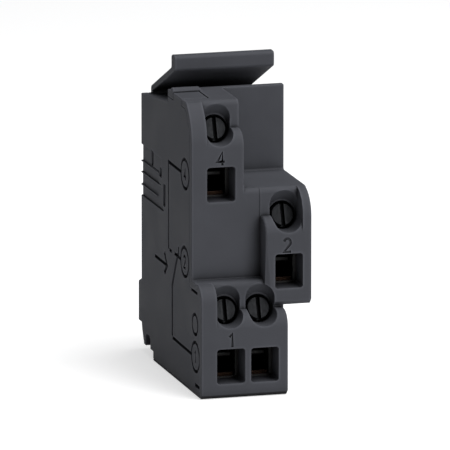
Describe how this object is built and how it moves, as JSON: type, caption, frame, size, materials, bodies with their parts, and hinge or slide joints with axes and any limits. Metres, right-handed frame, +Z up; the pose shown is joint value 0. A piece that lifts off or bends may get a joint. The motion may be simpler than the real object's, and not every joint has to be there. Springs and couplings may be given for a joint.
{
  "type": "auxiliary contact block",
  "caption": "Stepped narrow contact block with slotted terminal screws over square wire entries, an engraved side cover and a sloping release latch on top.",
  "frame": {"origin": "middle of the box's underside, on the surface that the block stands on", "axes": "+Z up, +X to the right seen from the terminals, which face -Y"},
  "size_m": [0.013, 0.0262, 0.0355],
  "materials": {
    "charcoal_plastic": "fine matte moulded polyamide",
    "plunger_plastic": "smooth moulded acetal",
    "contact_copper": "rolled copper alloy strip",
    "contact_silver": "silver contact face",
    "clamp_steel": "passivated steel",
    "screw_steel": "dark passivated steel"
  },
  "bodies": {
    "block": {"casing": "charcoal_plastic", "side_cover": "charcoal_plastic", "open_contact_bar": "contact_copper", "closed_contact_bar": "contact_copper", "common_bar": "contact_copper", "open_contact_tip": "contact_silver", "closed_contact_tip": "contact_silver", "pivot_pin": "clamp_steel", "return_spring": "clamp_steel", "wire_clamp_4": "clamp_steel", "wire_clamp_2": "clamp_steel", "wire_clamp_1a": "clamp_steel", "wire_clamp_1b": "clamp_steel"},
    "latch": {"release_latch": "charcoal_plastic"},
    "plunger": {"rear_plunger": "plunger_plastic"},
    "blade": {"moving_blade": "contact_copper", "moving_contact_rivet": "contact_silver"},
    "foot_4": {"pressure_foot_4": "clamp_steel"},
    "screw_4": {"terminal_screw_4": "screw_steel"},
    "foot_2": {"pressure_foot_2": "clamp_steel"},
    "screw_2": {"terminal_screw_2": "screw_steel"},
    "foot_1a": {"pressure_foot_1a": "clamp_steel"},
    "screw_1a": {"terminal_screw_1a": "screw_steel"},
    "foot_1b": {"pressure_foot_1b": "clamp_steel"},
    "screw_1b": {"terminal_screw_1b": "screw_steel"}
  },
  "joints": [
    {"name": "latch_swing", "type": "hinge", "parent": "block", "child": "latch", "pos_m": [0, 0.01045, 0.02846], "axis": [1, 0, 0], "range_deg": [0, 6], "stiffness_Nm_per_rad": 0.005},
    {"name": "plunger_slide", "type": "slide", "parent": "block", "child": "plunger", "axis": [0, -1, 0], "range_m": [0, 0.00065], "stiffness_N_per_m": 30, "springref_m": -0.0005, "deforming": ["return_spring"]},
    {"name": "blade_swing", "type": "hinge", "parent": "block", "child": "blade", "pos_m": [0.0005, 0.00502, 0.006], "axis": [1, 0, 0], "range_deg": [0, 7.81]},
    {"name": "foot_4_slide", "type": "slide", "parent": "block", "child": "foot_4", "axis": [0, 0.9135, -0.4067], "range_m": [0, 0.002]},
    {"name": "screw_4_turn", "type": "hinge", "parent": "foot_4", "child": "screw_4", "pos_m": [-0.00314, -0.00637, 0.0288], "axis": [0, 0.9135, -0.4067], "range_deg": [0, 1601]},
    {"name": "foot_2_slide", "type": "slide", "parent": "block", "child": "foot_2", "axis": [0, 0.9135, -0.4067], "range_m": [0, 0.002]},
    {"name": "screw_2_turn", "type": "hinge", "parent": "foot_2", "child": "screw_2", "pos_m": [0.00391, -0.00869, 0.01926], "axis": [0, 0.9135, -0.4067], "range_deg": [0, 1601]},
    {"name": "foot_1a_slide", "type": "slide", "parent": "block", "child": "foot_1a", "axis": [0, 0.9135, -0.4067], "range_m": [0, 0.002]},
    {"name": "screw_1a_turn", "type": "hinge", "parent": "foot_1a", "child": "screw_1a", "pos_m": [-0.00314, -0.01043, 0.00937], "axis": [0, 0.9135, -0.4067], "range_deg": [0, 1601]},
    {"name": "foot_1b_slide", "type": "slide", "parent": "block", "child": "foot_1b", "axis": [0, 0.9135, -0.4067], "range_m": [0, 0.002]},
    {"name": "screw_1b_turn", "type": "hinge", "parent": "foot_1b", "child": "screw_1b", "pos_m": [0.00069, -0.01043, 0.00937], "axis": [0, 0.9135, -0.4067], "range_deg": [0, 1601]}
  ],
  "couplings": [
    {"joint": "blade_swing", "follows": "plunger_slide", "rad_per_m": 208.33},
    {"joint": "screw_4_turn", "follows": "foot_4_slide", "rad_per_m": 13963},
    {"joint": "screw_2_turn", "follows": "foot_2_slide", "rad_per_m": 13963},
    {"joint": "screw_1a_turn", "follows": "foot_1a_slide", "rad_per_m": 13963},
    {"joint": "screw_1b_turn", "follows": "foot_1b_slide", "rad_per_m": 13963}
  ]
}
